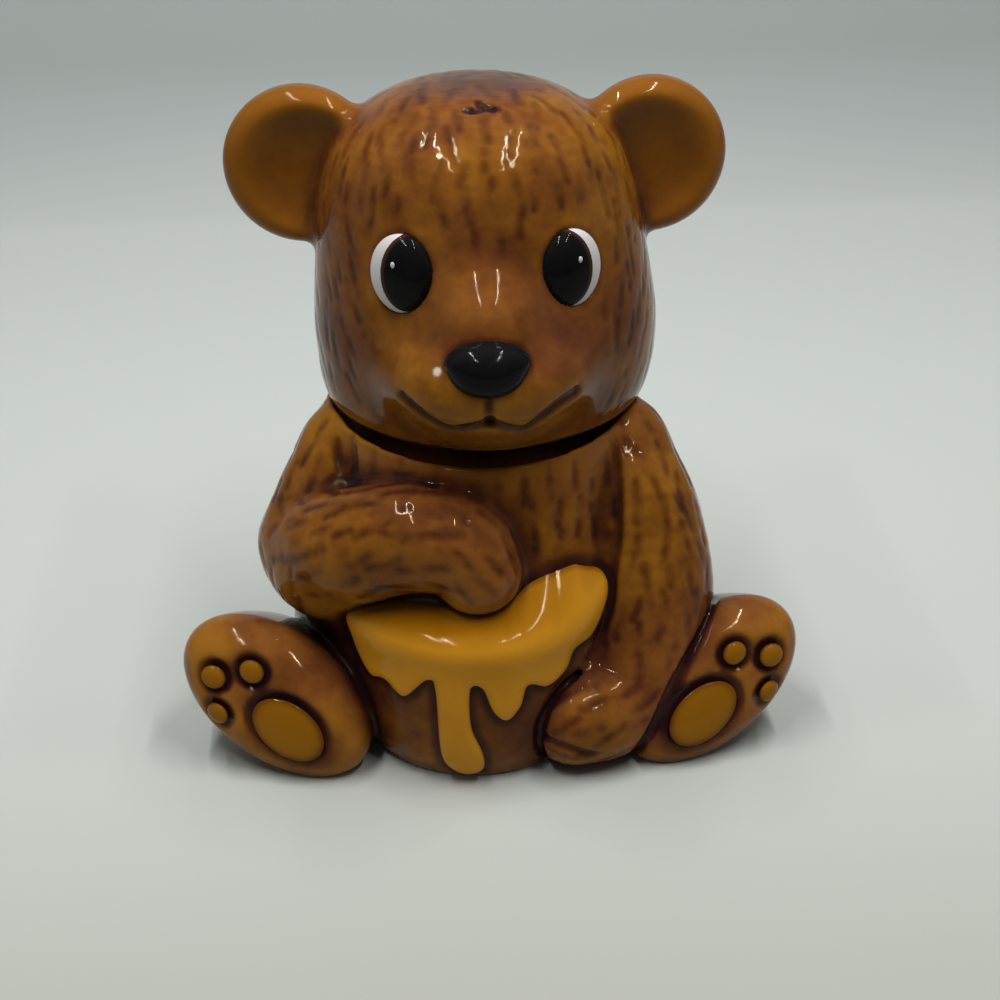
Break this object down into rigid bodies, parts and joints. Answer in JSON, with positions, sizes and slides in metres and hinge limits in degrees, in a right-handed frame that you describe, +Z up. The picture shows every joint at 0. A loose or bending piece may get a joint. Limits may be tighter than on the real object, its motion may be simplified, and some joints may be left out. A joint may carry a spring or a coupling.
{
  "type": "honey pot",
  "caption": "Glazed ceramic honey pot in the form of a seated bear cub hugging a brimming jar; the head lifts off as the lid.",
  "frame": {"origin": "centre of the pot's flat base, on the axis of the round neck", "axes": "+Z up along the axis of the neck and lid, the bear faces -Y, +X to the right of a viewer in front of it"},
  "size_m": [0.1302, 0.0904, 0.1362],
  "materials": {
    "amber_glaze": "gloss",
    "honey_glaze": "gloss",
    "white_glaze": "gloss",
    "black_glaze": "gloss"
  },
  "bodies": {
    "pot": {"body_pot": "amber_glaze", "honey_overflow": "honey_glaze", "left_heel_pad": "honey_glaze", "left_inner_toe_pad": "honey_glaze", "left_middle_toe_pad": "honey_glaze", "left_outer_toe_pad": "honey_glaze", "right_heel_pad": "honey_glaze", "right_inner_toe_pad": "honey_glaze", "right_middle_toe_pad": "honey_glaze", "right_outer_toe_pad": "honey_glaze"},
    "lid": {"head_lid": "amber_glaze", "nose": "black_glaze", "left_eye_white": "white_glaze", "left_eye_pupil": "black_glaze", "right_eye_white": "white_glaze", "right_eye_pupil": "black_glaze"}
  },
  "joints": [
    {"name": "lid_lift", "type": "slide", "parent": "pot", "child": "lid", "axis": [0, 0, 1], "range_m": [0, 0.06]}
  ]
}
